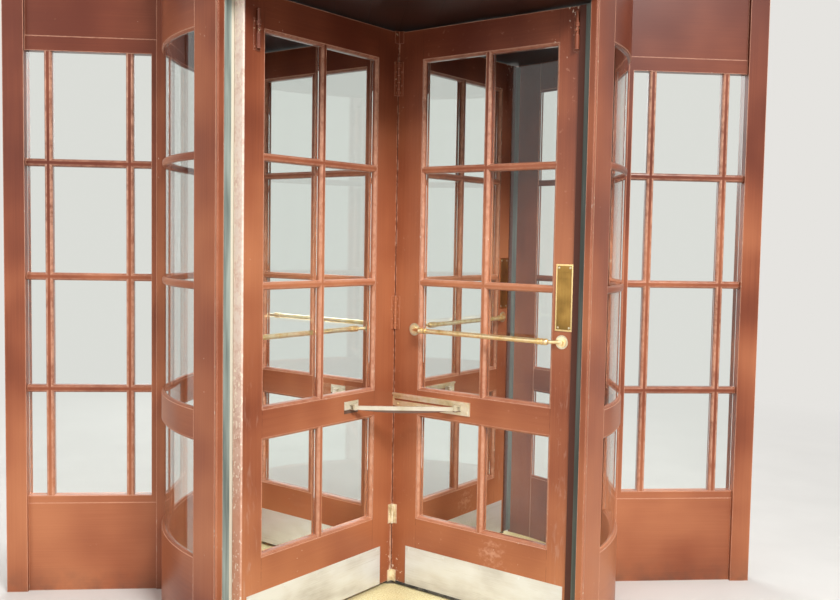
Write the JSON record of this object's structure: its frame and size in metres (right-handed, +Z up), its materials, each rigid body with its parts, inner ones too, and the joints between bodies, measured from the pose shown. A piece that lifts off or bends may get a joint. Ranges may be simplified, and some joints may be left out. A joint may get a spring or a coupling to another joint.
{
  "type": "revolving door",
  "caption": "Timber revolving door with glazed wings on a central post, curved glazed drum walls and a flat glazed screen on each side.",
  "frame": {"origin": "on the ground at the turning axis, under the middle of the round floor", "axes": "+Z up along the turning axis, +X to the right along the side screens, the front mouth towards -Y"},
  "size_m": [2.88, 1.7598, 2.36],
  "materials": {
    "red_paint": "gloss red-brown paint, worn at the edges",
    "dark_paint": "dark brown paint",
    "floor": "worn pale yellow floor covering",
    "clear_glass": "clear",
    "brass": "polished, a little tarnished",
    "kick_metal": "brushed and scuffed",
    "steel": "machined",
    "seal_rubber": "weathered grey",
    "cream_paint": "gloss cream paint"
  },
  "bodies": {
    "drum": {"floor_disc": "floor", "floor_bearing": "steel", "soffit_board": "dark_paint", "top_bearing": "steel", "roof_board": "dark_paint", "front_fascia": "red_paint", "rear_fascia": "red_paint", "left_front_post": "red_paint", "left_rear_post": "red_paint", "right_front_post": "red_paint", "right_rear_post": "red_paint", "left_jamb_post": "red_paint", "right_jamb_post": "red_paint", "left_front_rails": "red_paint", "left_rear_rails": "red_paint", "right_front_rails": "red_paint", "right_rear_rails": "red_paint", "left_front_glass": "clear_glass", "left_rear_glass": "clear_glass", "right_front_glass": "clear_glass", "right_rear_glass": "clear_glass", "left_screen_frame": "red_paint", "left_screen_glass": "clear_glass", "left_screen_panels": "red_paint", "right_screen_frame": "red_paint", "right_screen_glass": "clear_glass", "right_screen_panels": "red_paint"},
    "rotor": {"hub_post": "red_paint", "hub_shoes": "brass", "wing_1_frame": "red_paint", "wing_2_frame": "red_paint", "wing_3_frame": "red_paint", "wing_4_frame": "red_paint", "wing_1_glass": "clear_glass", "wing_2_glass": "clear_glass", "wing_3_glass": "clear_glass", "wing_4_glass": "clear_glass", "kickplates": "kick_metal", "edge_seals": "seal_rubber", "bottom_sweeps": "seal_rubber", "push_bars": "brass", "push_plates": "brass", "stay_tracks": "brass", "stay_arms": "cream_paint", "hinges": "brass"}
  },
  "joints": [
    {"name": "rotor_spin", "type": "hinge", "parent": "drum", "child": "rotor", "pos_m": [0, 0, 0], "axis": [0, 0, 1], "continuous": true}
  ]
}
